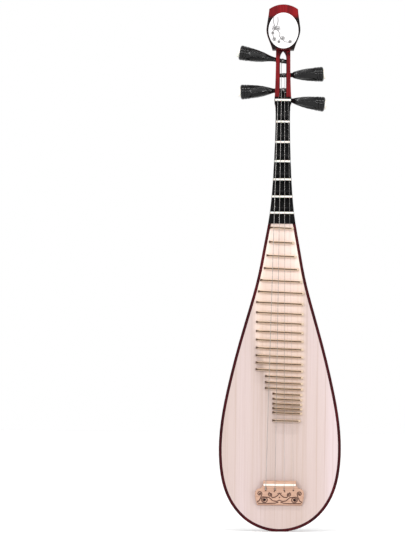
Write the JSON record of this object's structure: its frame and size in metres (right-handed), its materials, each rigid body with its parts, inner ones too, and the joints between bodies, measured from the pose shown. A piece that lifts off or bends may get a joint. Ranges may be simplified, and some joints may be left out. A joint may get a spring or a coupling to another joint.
{
  "type": "pipa",
  "caption": "Pear-shaped four-stringed lute with a hollowed back, ebony neck frets, bamboo body frets, a carved bridge, turning pegs and an oval head plate.",
  "frame": {"origin": "front edge of the flat that the body stands on, on the centre plane and in the plane of the soundboard's front", "axes": "+Z along the instrument towards the head, -Y out of the front, +X to the right seen from the front"},
  "size_m": [0.2362, 0.0644, 1.02],
  "materials": {
    "back_wood": "satin lacquer over dark red hardwood",
    "head_wood": "satin lacquer over red hardwood",
    "soundboard_wood": "bare, finely sanded paulownia",
    "inner_wood": "bare spruce",
    "ebony": "polished ebony",
    "bone": "polished bone",
    "bamboo": "smoothed bamboo",
    "bridge_wood": "oiled hardwood",
    "string_metal": "fine wound metal"
  },
  "bodies": {
    "instrument": {"neck_and_back": "back_wood", "soundboard": "soundboard_wood", "sound_bar_upper": "inner_wood", "sound_bar_lower": "inner_wood", "sound_post": "inner_wood", "peg_box": "head_wood", "head_block": "head_wood", "head_plate": "bone", "nut": "bone", "nut_block": "ebony", "xiang_1": "ebony", "xiang_2": "ebony", "xiang_3": "ebony", "xiang_4": "ebony", "xiang_5": "ebony", "xiang_6": "ebony", "xiang_ridges": "bone", "pin_01": "bamboo", "pin_02": "bamboo", "pin_03": "bamboo", "pin_04": "bamboo", "pin_05": "bamboo", "pin_06": "bamboo", "pin_07": "bamboo", "pin_08": "bamboo", "pin_09": "bamboo", "pin_10": "bamboo", "pin_11": "bamboo", "pin_12": "bamboo", "pin_13": "bamboo", "pin_14": "bamboo", "pin_15": "bamboo", "pin_16": "bamboo", "pin_17": "bamboo", "pin_18": "bamboo", "pin_19": "bamboo", "pin_20": "bamboo", "pin_21": "bamboo", "pin_22": "bamboo", "pin_23": "bamboo", "pin_24": "bamboo", "bridge": "bridge_wood", "bridge_saddle": "bone", "string_1": "string_metal", "string_2": "string_metal", "string_3": "string_metal", "string_4": "string_metal"},
    "peg_1": {"peg_1": "ebony", "peg_cap_1": "bone", "winding_1": "string_metal"},
    "peg_2": {"peg_2": "ebony", "peg_cap_2": "bone", "winding_2": "string_metal"},
    "peg_3": {"peg_3": "ebony", "peg_cap_3": "bone", "winding_3": "string_metal"},
    "peg_4": {"peg_4": "ebony", "peg_cap_4": "bone", "winding_4": "string_metal"}
  },
  "joints": [
    {"name": "peg_1_turn", "type": "hinge", "parent": "instrument", "child": "peg_1", "pos_m": [0, 0.01409, 0.8359], "axis": [0.9942, 0, -0.108], "continuous": true},
    {"name": "peg_2_turn", "type": "hinge", "parent": "instrument", "child": "peg_2", "pos_m": [0, 0.02045, 0.8829], "axis": [0.9993, 0, 0.0384], "continuous": true},
    {"name": "peg_3_turn", "type": "hinge", "parent": "instrument", "child": "peg_3", "pos_m": [0, 0.02632, 0.9106], "axis": [-0.9823, 0, 0.1874], "continuous": true},
    {"name": "peg_4_turn", "type": "hinge", "parent": "instrument", "child": "peg_4", "pos_m": [0, 0.01571, 0.8539], "axis": [-0.9986, 0, -0.0523], "continuous": true}
  ]
}
